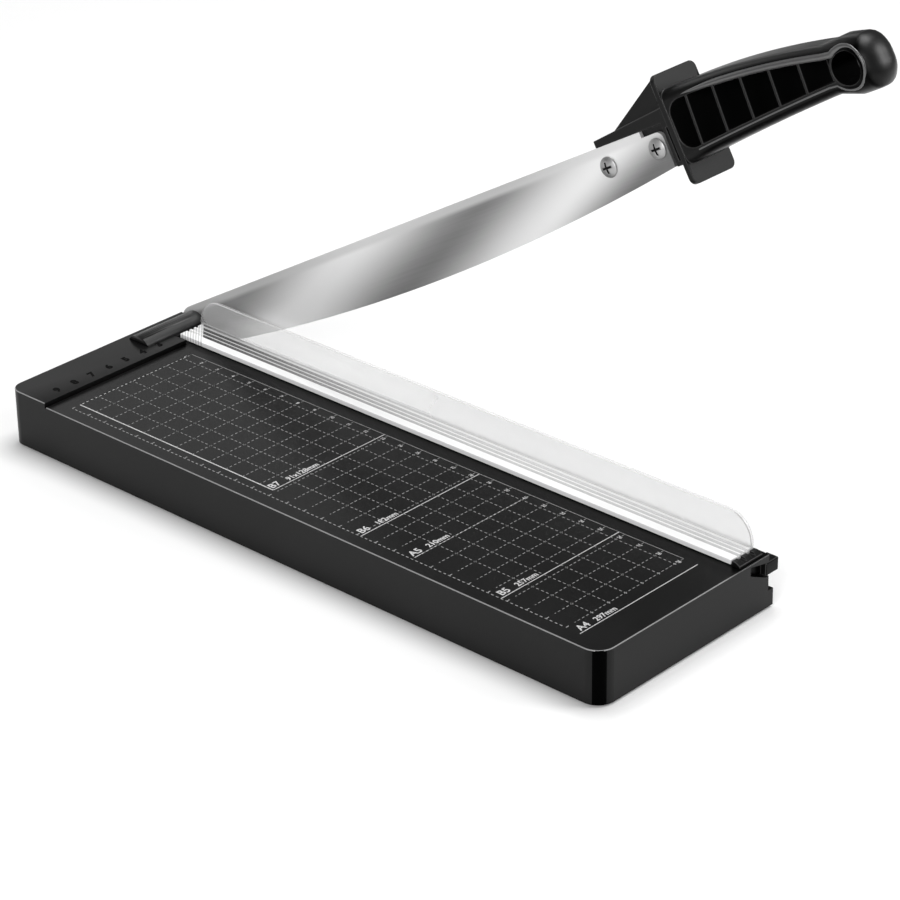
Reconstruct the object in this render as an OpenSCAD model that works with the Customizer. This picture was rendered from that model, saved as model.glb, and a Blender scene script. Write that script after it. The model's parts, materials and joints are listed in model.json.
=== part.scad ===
// Guillotine paper cutter, arm raised. The origin is the middle of the base's footprint on the floor:
// +X runs along the cutting edge away from the pivot, +Y from the operator to the cutting edge, +Z up.

/* [Base] */
// Length of the base
base_l = 336.5; // [315:0.5:370]
// Depth of the base, from its front to the cutting edge
base_w = 102.5; // [92:0.5:120]
// Height of the table above the floor
table_h = 25; // [24:0.5:32]
// Thickness of the table
deck_t = 2.8; // [2.2:0.1:3.4]
// Thickness of the outer walls
wall_t = 2.6; // [2:0.1:3.2]
// Radius of the front right corner
corner_r = 8; // [4:0.5:12]
// Radius of the front left corner
corner_left_r = 6.5; // [2:0.5:8]
// Thickness of the ribs under the table
rib_t = 1.6; // [1.2:0.1:2.2]
// Number of bays along the underside
bays_l = 10; // [8:1:12]
// Number of bays across the underside
bays_w = 3; // [3:1:4]
// Width of the fence at the left end
fence_w = 23.5; // [22.5:0.5:27]
// Height of the fence above the table
fence_h = 1.8; // [1:0.1:2.4]
// Width of the groove along the fence's foot
fence_groove_w = 0.9; // [0.6:0.1:1.5]
// Depth of that groove
fence_groove_d = 0.6; // [0.4:0.1:1]
// Length of the rear lip at the right end
lip_l = 10; // [6:0.5:10.5]
// How far the rear lip stands out
lip_out = 3.2; // [2:0.1:4]
// How far the top of the rear lip lies below the table
lip_drop = 16.5; // [14:0.5:18]

/* [Feet] */
// Radius of a rubber foot
foot_r = 7.5; // [6:0.5:9]
// Thickness of a rubber foot
foot_t = 2.6; // [2:0.1:3.5]
// Gap that the feet leave under the base
foot_stand = 1; // [0.6:0.1:1.5]
// Distance of a front foot from each side of the base
foot_in = 13; // [12:0.5:16]
// Extra distance of a rear foot from its end of the base
foot_rear_shift = 34; // [31:1:40]
// Extra distance of a rear foot from the cutting edge
foot_rear_in = 3; // [2:0.5:6]
// Radius of the stem that holds a foot
foot_stem_r = 2.2; // [1.8:0.1:2.6]
// Length of the stem that holds a foot
foot_stem_l = 7; // [5:0.5:10]
// Thickness of the post around a foot
foot_wall = 1.7; // [1.3:0.1:2.2]

/* [Fixed knife] */
// Thickness of the fixed knife
knife_t = 2.5; // [2:0.1:3]
// Height of the fixed knife
knife_h = 13; // [11:0.5:14.5]
// How far the fixed knife starts before the fence's wall
knife_lead = 3; // [1:0.5:5]
// Number of screws in the fixed knife
knife_screws_n = 4; // [3:1:5]
// Distance of the outer knife screws from the knife's ends
knife_screw_in = 32; // [30:1:38]
// Depth of the knife screws below the table
knife_screw_drop = 7.5; // [6.5:0.1:7.8]
// Radius of the knife screws
knife_screw_r = 1.5; // [1.2:0.1:1.8]
// Radius of the heads of the knife screws
knife_screw_head_r = 3; // [2.6:0.1:3.2]
// Length of the knife screws
knife_screw_l = 9; // [7:0.5:10]

/* [Pivot] */
// Distance of the pivot from the left end of the base
pivot_in = 9.8; // [9.5:0.1:11.5]
// Depth of the pivot below the table
pivot_drop = 2.4; // [1.5:0.1:3]
// Radius of the pivot bolt
bolt_r = 3; // [2.5:0.1:3.4]
// Corner radius of the bolt's hexagon head
bolt_head_r = 6.4; // [6:0.1:7]
// Height of the bolt's head
bolt_head_h = 4; // [3:0.1:5]
// Corner radius of the pivot nut
nut_r = 5.6; // [5.2:0.1:5.8]
// Height of the pivot nut
nut_h = 5; // [4:0.1:5.5]
// Thickness of the washers on the bolt
washer_t = 0.8; // [0.6:0.1:1]
// Radius of the moulded barrel around the pivot
barrel_r = 7.5; // [7.4:0.1:8]
// Length of the barrel
barrel_l = 35; // [34:0.5:40]
// Thickness of the base behind the pivot
pivot_wall = 6; // [5.4:0.1:8]
// Mean radius of the pivot spring
spring_r = 4.6; // [4.4:0.1:4.8]
// Wire diameter of the pivot spring
spring_wire = 1.2; // [1:0.1:1.3]
// Length of the pivot spring as fitted
spring_l = 14; // [12:0.5:15]
// Number of turns of the pivot spring
spring_turns = 5; // [4:1:6]

/* [Arm] */
// Angle of the arm above the table, as shown
arm_angle = 30.4; // [25:0.1:36]
// Angle of the arm above the table when it is closed
closed_angle = 1.4; // [1.3:0.1:1.8]
// Thickness of the blade
blade_t = 1.8; // [1.5:0.1:2]
// Gap between the blade and the fixed knife
blade_gap = 0.3; // [0.3:0.05:0.5]
// Height of the blade's spine above the line through the pivot
spine_v = 9.5; // [9:0.1:10.5]
// Depth of the cutting edge at its start near the pivot
heel_v = 12.4; // [11:0.1:14]
// Depth of the cutting edge at the blade's tip
tip_v = 7.8; // [6.5:0.1:9]
// How far the cutting edge bows out between its ends
edge_belly = 7.8; // [5:0.1:9]
// Distance of the cutting edge's start from the pivot
heel_u = 24; // [20:1:30]
// Length of the step in the spine at the blade's tip
tip_step_l = 11; // [8:0.5:14]
// Height of that step
tip_step = 2.5; // [1.5:0.1:3.5]
// Radius of the corner at the blade's tip
tip_corner_r = 3; // [1:0.1:4]
// Radius of the bush in the blade
bush_r = 5; // [4.4:0.1:6]

/* [Handle] */
// Gap between the base's end and the cross-guard when the arm is closed
plate_gap = 3; // [2:0.1:5]
// Thickness of the cross-guard
plate_t = 2.5; // [2:0.1:3.5]
// Height of the cross-guard's top above the line through the pivot
plate_top = 27.7; // [24.5:0.1:29]
// Depth of the cross-guard's bottom below the line through the pivot
plate_bottom = 16.3; // [15.8:0.1:18]
// Gap between the blade's tip and the cross-guard
neck_l = 15; // [14:0.5:17]
// Thickness of the tang behind the blade
tang_t = 4.5; // [4:0.1:5.5]
// Length of the tang
tang_l = 51; // [46:1:58]
// Depth of the neck below the line through the pivot
neck_v = 8.2; // [7.8:0.1:8.4]
// Width of the rim around the neck's recess
neck_rim_t = 2; // [1.5:0.1:2.5]
// Height above the spine of the strip along the tang
strip_low = 3; // [2:0.1:4]
// Height of that strip at the cross-guard
strip_high = 6.5; // [5:0.1:8]
// Distance along the tang to the start of the gusset
gusset_in = 1; // [0.5:0.5:14]
// Thickness of the gusset
gusset_t = 2.4; // [1.8:0.1:3]
// Half the width of the cross-guard
plate_half = 12.4; // [11:0.1:14]
// Radius of the cross-guard's corners
plate_corner_r = 3; // [1.5:0.1:5]
// Length of the grip
grip_l = 98; // [92:1:110]
// Half the thickness of the grip at the cross-guard
grip_half = 11; // [10:0.1:12.5]
// Half the thickness of the grip at its end
grip_half_end = 9; // [8.6:0.1:10]
// Height of the grip's top at its crest
grip_crest = 21.3; // [20:0.1:23]
// How far the grip's top falls from its crest to its end
grip_fall = 10.6; // [8:0.1:12]
// Depth of the grip's underside at the cross-guard
grip_belly = 8.6; // [8.2:0.1:10]
// How far the underside rises towards the bulb
grip_rise = 4.8; // [3:0.1:6]
// How far the bulb at the end drops below the underside
bulb_drop = 3.2; // [2:0.1:5]
// How far the bulb rises above the top of the grip
bulb_rise = 2.2; // [1:0.1:3]
// Length of the domed end of the grip
grip_end_l = 5.5; // [4:0.5:8]
// Radius along the edges of the bulb
bulb_edge_r = 7.5; // [5:0.1:8]
// Radius along the grip's long edges
grip_edge_r = 4; // [2.5:0.1:4.5]
// Width of the rim around the grip's pockets
rim_w = 5; // [4:0.1:6]
// Thickness of the wall behind the pockets
skin_t = 3.5; // [2.5:0.1:5]
// Radius of the corners of the first pocket
pocket_corner_r = 5.5; // [3:0.1:6.5]
// Number of ribs across the pockets
grip_ribs = 5; // [4:1:6]
// Spacing of the ribs
grip_rib_pitch = 14; // [12:0.5:14.5]
// Thickness of a rib
grip_rib_t = 1.3; // [1:0.1:1.8]
// Radius of the round pocket in the bulb
ring_r = 6.3; // [5:0.1:6.5]
// Radius of the screws that hold the blade
arm_screw_r = 2.5; // [2:0.1:2.8]
// Radius of the heads of those screws
arm_screw_head_r = 4.3; // [3.8:0.1:4.6]
// Spacing of those screws
arm_screw_pitch = 28; // [24:1:32]
// Distance of the outer screw from the blade's tip
arm_screw_in = 4.9; // [4.7:0.1:8]
// Height of the screws above the line through the pivot
arm_screw_v = 1; // [0.8:0.1:2]
// Height of the screws' heads
arm_screw_head_h = 1.7; // [1.4:0.1:2.3]
// Corner radius of the nuts on the screws
arm_nut_r = 4.4; // [4:0.1:5]
// Height of the nuts on the screws
arm_nut_h = 3.2; // [2.6:0.1:4]
// How far the screws stand out of their nuts
arm_screw_proud = 0.6; // [0.3:0.1:1]

/* [Guard] */
// Width of the guard's flange
flange_w = 14.4; // [13:0.1:17]
// Thickness of the guard's flange
flange_t = 2.2; // [1.8:0.1:3]
// Height of the guard's upright above the table
upright_h = 16; // [14:0.5:19]
// Thickness of the guard's upright
upright_t = 1.6; // [1.2:0.1:2.2]
// Distance of the upright from the cutting edge
upright_back = 2.8; // [2.8:0.1:4]
// Radius of the upright's top corners
upright_r = 12; // [8:0.5:13]
// Number of grooves along the guard's flange
groove_n = 3; // [2:1:3]
// Width of a groove
groove_w = 1.2; // [0.8:0.1:1.6]
// Depth of a groove
groove_d = 0.7; // [0.4:0.1:1]
// Spacing of the grooves
groove_pitch = 2.6; // [2:0.1:2.8]
// Distance of the first groove from the flange's front edge
groove_in = 4.4; // [3:0.1:4.8]
// How far the guard can lift
guard_lift = 2.5; // [1.5:0.1:3]
// Radius of the guard's guide pegs
peg_r = 2.2; // [1.8:0.1:2.5]
// Distance of the pegs in front of the upright
peg_back = 5.2; // [4.6:0.1:6]
// Thickness of the base around a peg
peg_wall = 2.2; // [1.4:0.1:2.4]
// Length of the base's boss around a peg
peg_boss_l = 5; // [4:0.1:6]
// Radius of the screws in the pegs
guard_screw_r = 1.1; // [0.8:0.1:1.2]
// How far the heads of those screws stand out around the pegs
guard_screw_rim = 0.9; // [0.6:0.1:1.1]
// Distance of the left peg from the guard's left end
peg_in_left = 9.5; // [8.5:0.5:12]
// Distance of the right peg from the guard's right end
peg_in_right = 22; // [21.5:0.5:25]
// Length of the keeper beside the guard's right end
keeper_l = 4.2; // [4:0.1:5]
// Distance of the keeper from the base's right end
keeper_in = 1.2; // [1:0.1:2.5]
// Height of the keeper's lugs
lug_h = 2.2; // [1.8:0.1:4]
// Width of a lug
lug_w = 3.2; // [2.4:0.1:3.8]
// Radius of the pins under the keeper
keeper_pin_r = 1.2; // [0.8:0.1:1.4]

/* [Lock] */
// Width of the lock's finger along the base
finger_w = 6; // [5:0.1:7]
// Height of the lock's finger
finger_h = 5.8; // [5:0.1:6]
// Depth of the finger's top below the table
finger_drop = 3.6; // [3.5:0.1:4.2]
// How far the finger stands out behind the base
finger_out = 6.2; // [5:0.1:6.2]
// Travel of the lock
lock_travel = 5; // [4:0.1:5.4]
// Depth of the window beside the finger, from the cutting edge
window_w = 11.7; // [11:0.1:13]
// Depth of the window's front bottom corner below the finger's top
sill_drop = 1.6; // [1:0.1:3]
// Depth of the window's front top corner below the table
window_head = 1.2; // [1:0.1:3]
// Length of the slider behind the finger
slider_l = 13; // [12:0.5:14]
// Gap between the slider's end and the base's end wall
slider_in = 0.4; // [0.3:0.1:1.4]
// Thickness of the plate under the slider
lock_plate_t = 2; // [1.5:0.1:2.5]
// Radius of the screws of that plate
plate_screw_r = 1.2; // [1:0.1:1.4]
// Thickness of the strike on the arm
strike_t = 1.4; // [1.2:0.1:1.8]
// Length of the strike's toe
toe_l = 3.6; // [3:0.1:4]
// Thickness of the strike's toe
toe_t = 1.2; // [1:0.1:1.6]
// Radius of the screws of the strike
strike_screw_r = 1.2; // [1:0.1:1.4]

/* [Clearances] */
// Radial clearance of a running fit
run_fit = 0.05; // [0.03:0.01:0.1]
// Clearance of a piece that slides in a moulded channel
slide_gap = 0.3; // [0.3:0.05:0.4]
// Gap between pieces that pass each other
pass_gap = 0.4; // [0.3:0.05:0.5]
// Clearance of a fixed piece in its seat
seat_gap = 0.05; // [0.02:0.01:0.1]

/* [Hidden] */
$fn = 48;
eps = 0.01;

black = [0.09, 0.09, 0.1];
rubber = [0.16, 0.16, 0.17];
steel = [0.72, 0.73, 0.75];
brass = [0.78, 0.63, 0.32];
clear = [0.86, 0.9, 0.93, 0.45];

// Limits of the base
left = -base_l / 2;
right = base_l / 2;
front = -base_w / 2;
rear = base_w / 2;
deck_z = table_h - deck_t;
fence_x = left + fence_w;
rear_wall = knife_t + wall_t;
inner_rear = rear - rear_wall;

// Bays under the table
bay_l = (base_l - 2 * wall_t - (bays_l - 1) * rib_t) / bays_l;
bay_w = (inner_rear - front - wall_t - (bays_w - 1) * rib_t) / bays_w;

// Feet: front left, front right, rear left, rear right, and one under the middle of the table
foot_boss_r = foot_r + foot_wall;
rear_foot_x = right - foot_in - foot_rear_shift;
rear_foot_y = rear - foot_in - foot_rear_in;
foot_at = [
    [left + foot_in, front + foot_in], [right - foot_in, front + foot_in],
    [-rear_foot_x, rear_foot_y], [rear_foot_x, rear_foot_y], [0, 0]
];

// Pivot and the pieces along its bolt, as distances behind the cutting edge
pivot_x = left + pivot_in;
pivot_z = table_h - pivot_drop;
blade_near = blade_gap;
blade_far = blade_gap + blade_t;
washer_near = blade_far + slide_gap;
head_near = washer_near + washer_t;
nut_near = -pivot_wall - spring_l - washer_t;
bolt_proud = 2;
bolt_end = nut_near - nut_h - bolt_proud;
pocket_gap = 0.8;
pocket_r = spring_r + spring_wire / 2 + pocket_gap;
pocket_end = bolt_end - pocket_gap;

// Arm, measured from the pivot: u along it, v square to it
arm_reach = right - pivot_x;
plate_u = arm_reach + plate_gap;
grip_u = plate_u + plate_t;
blade_l = plate_u - neck_l;
blade_mid = (blade_near + blade_far) / 2;
arm_screw_u = [blade_l - arm_screw_in, blade_l - arm_screw_in - arm_screw_pitch];
arm_screw_l = blade_t + tang_t + arm_nut_h + arm_screw_proud;
tang_far = blade_far + tang_t;

// Guard
guard_x0 = pivot_x + barrel_r + pass_gap;
keeper_x0 = right - keeper_in - keeper_l;
guard_x1 = keeper_x0 - pass_gap;
flange_z = table_h + slide_gap;
upright_y = rear - upright_back - upright_t;
flange_y = upright_y + upright_t - flange_w;
guard_l = guard_x1 - guard_x0;
upright_top = table_h + upright_h - flange_z;
fence_notch_gap = 2;
fence_notch_y = flange_y - fence_notch_gap;
peg_y = upright_y - peg_back;
peg_at = [[guard_x0 + peg_in_left, peg_y], [guard_x1 - peg_in_right, peg_y]];
peg_boss_z = deck_z - peg_boss_l;
peg_end = peg_boss_z - guard_lift - slide_gap;
guard_screw_head_r = peg_r + guard_screw_rim;
guard_screw_head_h = 1.4;
guard_screw_l = 5.5;

// Keeper beside the guard's right end, pressed into the table by two pins
keeper_base_t = 1.2;
keeper_pin_in = 2;
keeper_pin_l = deck_t - keeper_pin_r / 2;
keeper_pin_at = [
    for (y = [keeper_pin_in, flange_w - keeper_pin_in]) [keeper_x0 + keeper_l / 2, flange_y + y]
];
lug_n = 3;
lug_edge = 0.45;
lug_outline = [[0, 0], [keeper_l, 0], [keeper_l, lug_edge * lug_h], [lug_edge * keeper_l, lug_h], [0, lug_h]];

// Lock: the finger in the base, and the strike on the arm that it holds down
finger_z1 = table_h - finger_drop;
finger_z0 = finger_z1 - finger_h;
channel_z0 = finger_z0 - slide_gap;
channel_z1 = finger_z1 + slide_gap;
slider_y0 = rear - window_w + slide_gap;
slider_y1 = inner_rear - slide_gap;
slider_x1 = right - wall_t - slider_in;
web_shift = 2;
web_x0 = right - finger_w - web_shift;
finger_root = 1.8;
finger_y0 = rear - finger_root;
window_y0 = rear - window_w;
window_outline = [
    [window_y0, finger_z1 - sill_drop], [finger_y0 - slide_gap, channel_z0], [rear + 1, channel_z0],
    [rear + 1, channel_z1], [finger_y0 - slide_gap, channel_z1], [window_y0, table_h - window_head]
];
channel_x0 = slider_x1 - slider_l - lock_travel - slide_gap;
slot_x0 = web_x0 - lock_travel - slide_gap;
housing_wall = 2;
housing_front = 6;
housing_x0 = channel_x0 - housing_wall;
housing_y0 = slider_y0 - slide_gap - housing_front;
plate_screw_in = 4;
plate_screw_x = [housing_x0 + plate_screw_in, slider_x1 - plate_screw_in];
plate_screw_y = housing_y0 + housing_front / 2;
plate_screw_head_r = plate_screw_r + 1.1;
plate_screw_head_h = 1.4;
plate_screw_bite = 4;
toe_v = arm_v(right - finger_w, finger_z0) - pass_gap;
toe_u1 = arm_u(right - finger_w - pass_gap, finger_z0);
toe_u0 = toe_u1 - toe_l;
toe_reach = 2.2;
strike_u1 = plate_u - 1;
strike_w = 8;
strike_top = 4;
strike_far = tang_far + strike_t;
strike_screw_in = 3.5;
strike_screw_v = [strike_top - 3, strike_top - 8.5];
strike_screw_at = [for (v = strike_screw_v) [strike_u1 - strike_screw_in, v]];
strike_screw_head_r = strike_screw_r + 1;
strike_screw_head_h = 1.2;
strike_screw_bite = tang_t - 1.4;

// Place on the arm of a point of the base while the arm is closed
function arm_u(x, z) = (x - pivot_x) * cos(closed_angle) + (z - pivot_z) * sin(closed_angle);
function arm_v(x, z) = (z - pivot_z) * cos(closed_angle) - (x - pivot_x) * sin(closed_angle);

// Grip outline, s measured from the cross-guard
crest_s = 10;
bulb_s = grip_l - 21;
bulb_l = 9;
function ease(t) = let (c = min(1, max(0, t))) c * c * (3 - 2 * c);
function grip_top(s) =
    let (t = (s - crest_s) / (grip_l - crest_s))
    grip_crest - grip_fall * t * t + bulb_rise * ease((s - bulb_s) / bulb_l);
function grip_low(s) =
    let (t = min(1, s / bulb_s))
    -grip_belly + grip_rise * (1.4 * t - 0.4 * t * t) - bulb_drop * ease((s - bulb_s) / bulb_l);
flare_l = 12;
flare_proud = 0.1;
flare = plate_half + flare_proud - grip_half;
function grip_side(s) =
    grip_half + (grip_half_end - grip_half) * s / grip_l + flare * (1 - ease((s + plate_t) / flare_l));
function grip_edge(s) = grip_edge_r + (bulb_edge_r - grip_edge_r) * ease((s - bulb_s) / bulb_l);

// Outline of a rounded rectangle, as points [across, up]
function rounded(half, low, high, r) = [
    for (c = [[1, 1, 0], [-1, 1, 90], [-1, -1, 180], [1, -1, 270]], a = [0:15:90])
        [c[0] * (half - r) + r * cos(c[2] + a), (c[1] > 0 ? high - r : low + r) + r * sin(c[2] + a)]
];

// Section of the grip at s, drawn in by inset
function grip_ring(s, inset) =
    let (half = grip_side(s) - inset, r = min(grip_edge(s), half - end_flat / 2))
    [
        for (p = rounded(half, grip_low(s) + inset, grip_top(s) - inset, r))
            [grip_u + s, blade_mid + p[0], p[1]]
    ];
end_flat = 0.8;
grip_flat = grip_l - grip_end_l;
grip_steps = 26;
grip_rings = concat(
    [for (i = [0:grip_steps]) grip_ring((grip_flat + plate_t) * i / grip_steps - plate_t, 0)],
    [
        for (a = [10:10:90])
            grip_ring(grip_flat + grip_end_l * sin(a), (grip_half_end - end_flat) * (1 - cos(a)))
    ]
);

// Wire of the spring: square ends on its seats, turns between them, axis along Y
spring_step = 45;
spring_rise = (spring_l - 2 * spring_wire) / (spring_turns * 360);
spring_path = concat(
    [[0, 0]],
    [for (a = [0:spring_step:spring_turns * 360]) [a, spring_wire + a * spring_rise]],
    [[spring_turns * 360, spring_l]]
);
function spring_point(p) = [spring_r * cos(p[0]), p[1], spring_r * sin(p[0])];
function unit(v) = v / norm(v);
function spring_ring(i) =
    let (
        p = spring_point(spring_path[i]),
        ahead = spring_point(spring_path[min(i + 1, len(spring_path) - 1)]),
        behind = spring_point(spring_path[max(i - 1, 0)]),
        out = [cos(spring_path[i][0]), 0, sin(spring_path[i][0])],
        side = unit(cross(unit(ahead - behind), out))
    )
    [for (a = [0:60:300]) p + spring_wire / 2 * (out * cos(a) + side * sin(a))];
spring_rings = [for (i = [0:len(spring_path) - 1]) spring_ring(i)];
spring_gap = min([
    for (i = [1:len(spring_path) - 2], j = [i + 6:1:len(spring_path) - 2])
        norm(spring_point(spring_path[i]) - spring_point(spring_path[j])) - spring_wire
]);
echo(spring_least_gap_mm = spring_gap);

// Solid through a row of rings with the same number of points
module loft(rings) {
    n = len(rings[0]);
    m = len(rings);
    sides = [
        for (i = [0:m - 2], j = [0:n - 1], half = [0, 1])
            let (a = i * n + j, b = i * n + (j + 1) % n)
            half == 0 ? [a, a + n, b] : [b, a + n, b + n]
    ];
    caps = concat(
        [for (j = [1:n - 2]) [0, j, j + 1]],
        [for (j = [1:n - 2]) [(m - 1) * n, (m - 1) * n + j + 1, (m - 1) * n + j]]
    );
    polyhedron([for (r = rings, p = r) p], concat(sides, caps));
}

// Box between two corners
module box(low, high) {
    translate(low) cube(high - low);
}

// Cylinder along Y between two distances behind the cutting edge
module along_y(r, near, far) {
    translate([0, far, 0]) rotate([90, 0, 0]) cylinder(r = r, h = far - near);
}

// Places children at the pivot, with Y counted from the cutting edge
module at_pivot() {
    translate([pivot_x, rear, pivot_z]) children();
}

// Places children on the arm: X along it, Z square to it
module on_arm() {
    at_pivot() rotate([0, -arm_angle, 0]) children();
}

// Plate of the arm from a flat outline, between two distances behind the cutting edge
module arm_plate(near, far) {
    translate([0, far, 0]) rotate([90, 0, 0]) linear_extrude(far - near) children();
}

// Cross-shaped recess from the origin up, sized to a screw's head
recess_l = 1.1;
recess_w = 0.2;
module cross_recess(head_r) {
    for (a = [0, 90]) rotate(a) translate([-head_r * recess_l / 2, -head_r * recess_w / 2, 0])
        cube([head_r * recess_l, head_r * recess_w, head_r]);
}

// Screw with a raised head, its seat at the origin and its shank along -Z
module pan_screw(head_r, head_h, r, l) difference() {
    union() {
        intersection() {
            cylinder(r = head_r, h = head_h);
            translate([0, 0, head_h - 2 * head_r]) sphere(r = 2 * head_r);
        }
        translate([0, 0, -l]) cylinder(r = r, h = l + eps);
    }
    translate([0, 0, head_h / 2]) cross_recess(head_r);
}

// Countersunk screw, the top of its head at the origin and its shank along -Z
module flat_screw(head_r, r, l) difference() {
    union() {
        translate([0, 0, r - head_r]) cylinder(r1 = r, r2 = head_r, h = head_r - r);
        translate([0, 0, -l]) cylinder(r = r, h = l - head_r + r + eps);
    }
    translate([0, 0, -head_r / 3]) cross_recess(head_r);
}

// Knife screws: places along the knife, and sizes
knife_x0 = fence_x - knife_lead;
knife_x1 = slot_x0 - pass_gap;
knife_z0 = table_h - knife_h;
knife_screw_z = table_h - knife_screw_drop;
knife_boss_r = knife_screw_r + 2;
knife_boss_end = knife_screw_l + 1.5;
knife_screw_x = [
    for (i = [0:knife_screws_n - 1])
        knife_x0 + knife_screw_in + (knife_x1 - knife_x0 - 2 * knife_screw_in) * i / (knife_screws_n - 1)
];

// Outline of the base, seen from above
module base_outline() {
    translate([left, front + corner_r]) square([base_l, base_w - corner_r]);
    translate([left, front + corner_left_r]) square([base_l / 2, base_w - corner_left_r]);
    translate([left + corner_left_r, front]) square([base_l - corner_left_r - corner_r, corner_r + eps]);
    translate([left + corner_left_r, front + corner_left_r]) circle(corner_left_r);
    translate([right - corner_r, front + corner_r]) circle(corner_r);
}

// Outer block of the base with its fence, barrel and rear lip
module base_block() {
    translate([0, 0, foot_stand]) linear_extrude(table_h - foot_stand) base_outline();
    difference() {
        translate([0, 0, deck_z]) linear_extrude(deck_t + fence_h) intersection() {
            base_outline();
            translate([left, front]) square([fence_w, base_w]);
        }
        box([pivot_x, fence_notch_y, table_h], [fence_x + 1, rear + 1, table_h + fence_h + 1]);
    }
    box([right - lip_l, rear - eps, foot_stand], [right, rear + lip_out, table_h - lip_drop]);
}

// Hollows under the table, one for each bay between the ribs
module base_bays() {
    for (i = [0:bays_l - 1], j = [0:bays_w - 1])
        translate([left + wall_t + i * (bay_l + rib_t), front + wall_t + j * (bay_w + rib_t), -eps])
            cube([bay_l, bay_w, deck_z + eps]);
}

// Posts and housings that stand under the table
module base_posts() {
    for (p = foot_at) translate([p[0], p[1], foot_stand])
        cylinder(r = foot_boss_r, h = deck_z - foot_stand + eps);
    for (p = peg_at) translate([p[0], p[1], peg_boss_z]) cylinder(r = peg_r + peg_wall, h = peg_boss_l + eps);
    for (x = knife_screw_x) translate([x, rear, knife_screw_z])
        along_y(knife_boss_r, -knife_boss_end, eps - rear_wall);
    at_pivot() along_y(barrel_r, -barrel_l, 0);
    box([housing_x0, housing_y0, channel_z0], [right, rear, deck_z + eps]);
}

// Everything cut from the base once its posts are in
module base_cuts() {
    for (p = foot_at) {
        translate([p[0], p[1], -eps]) cylinder(r = foot_r + seat_gap, h = foot_t + eps);
        translate([p[0], p[1], 0]) cylinder(r = foot_stem_r + seat_gap, h = foot_t + foot_stem_l + seat_gap);
    }
    for (p = peg_at) translate([p[0], p[1], peg_boss_z - eps]) {
        cylinder(r = peg_r + run_fit, h = peg_boss_l + deck_t + 2 * eps);
        translate([0, 0, -peg_boss_z]) cylinder(r = guard_screw_head_r + pass_gap, h = peg_boss_z);
    }
    box(
        [knife_x0 - seat_gap, rear - knife_t - seat_gap, knife_z0 - seat_gap],
        [knife_x1 + seat_gap, rear + 1, table_h + 1]
    );
    for (x = knife_screw_x) translate([x, rear, knife_screw_z])
        along_y(knife_screw_r + seat_gap, -knife_screw_l - seat_gap, 0);
    at_pivot() {
        along_y(bolt_r + seat_gap, -pivot_wall - 1, 1);
        along_y(pocket_r, pocket_end, -pivot_wall);
        box([-pocket_r, pocket_end, -pivot_z - 1], [pocket_r, -pivot_wall, 0]);
    }
    box(
        [fence_x, front - 1, table_h - fence_groove_d],
        [fence_x + fence_groove_w, fence_notch_y, table_h + 1]
    );
    box(
        [channel_x0, slider_y0 - slide_gap, channel_z0 - 1],
        [right - wall_t, slider_y1 + slide_gap, channel_z1]
    );
    box([slot_x0, slider_y1, channel_z0], [right - wall_t, rear + 1, channel_z1]);
    translate([right - wall_t - eps, 0, 0]) rotate([90, 0, 90]) linear_extrude(wall_t + 1)
        polygon(window_outline);
    for (x = plate_screw_x) translate([x, plate_screw_y, channel_z0 - eps])
        cylinder(r = plate_screw_r + seat_gap, h = plate_screw_bite + seat_gap);
    for (p = keeper_pin_at) translate([p[0], p[1], table_h - keeper_pin_l - seat_gap])
        cylinder(r = keeper_pin_r + seat_gap, h = keeper_pin_l + 1);
}

module base_shell() color(black) difference() {
    union() {
        difference() {
            base_block();
            base_bays();
        }
        base_posts();
    }
    base_cuts();
}

module foot(i) color(rubber) translate([foot_at[i][0], foot_at[i][1], 0]) {
    cylinder(r = foot_r, h = foot_t);
    cylinder(r = foot_stem_r, h = foot_t + foot_stem_l);
}
module foot_front_left() foot(0);
module foot_front_right() foot(1);
module foot_rear_left() foot(2);
module foot_rear_right() foot(3);
module foot_middle() foot(4);

module fixed_knife() color(steel) difference() {
    box([knife_x0, rear - knife_t, knife_z0], [knife_x1, rear, table_h]);
    sink = knife_screw_head_r + seat_gap - knife_screw_r;
    for (x = knife_screw_x) translate([x, rear, knife_screw_z]) rotate([-90, 0, 0]) {
        translate([0, 0, -sink]) cylinder(r1 = knife_screw_r, r2 = knife_screw_r + sink, h = sink);
        translate([0, 0, -knife_t - 1]) cylinder(r = knife_screw_r + seat_gap, h = knife_t + 2);
    }
}

module knife_screws() color(steel) for (x = knife_screw_x)
    translate([x, rear - seat_gap, knife_screw_z]) rotate([-90, 0, 0])
        flat_screw(knife_screw_head_r, knife_screw_r, knife_screw_l);

module pivot_bolt() color(steel) at_pivot() {
    along_y(bolt_r, bolt_end, head_near + eps);
    translate([0, head_near + bolt_head_h, 0]) rotate([90, 0, 0])
        cylinder(r = bolt_head_r, h = bolt_head_h, $fn = 6);
}

// Washer on the bolt, between two distances behind the cutting edge
module washer(r, near) at_pivot() difference() {
    along_y(r, near, near + washer_t);
    along_y(bolt_r + seat_gap, near - 1, near + washer_t + 1);
}
module pivot_washer() color(steel) washer(bolt_head_r + washer_t, washer_near);
module spring_washer() color(steel) washer(spring_r + spring_wire, nut_near);

module pivot_spring() color(steel) at_pivot() translate([0, -pivot_wall - spring_l, 0]) loft(spring_rings);

module pivot_nut() color(steel) at_pivot() difference() {
    translate([0, nut_near, 0]) rotate([90, 0, 0]) cylinder(r = nut_r, h = nut_h, $fn = 6);
    along_y(bolt_r + seat_gap, nut_near - nut_h - 1, nut_near + 1);
}

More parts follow.
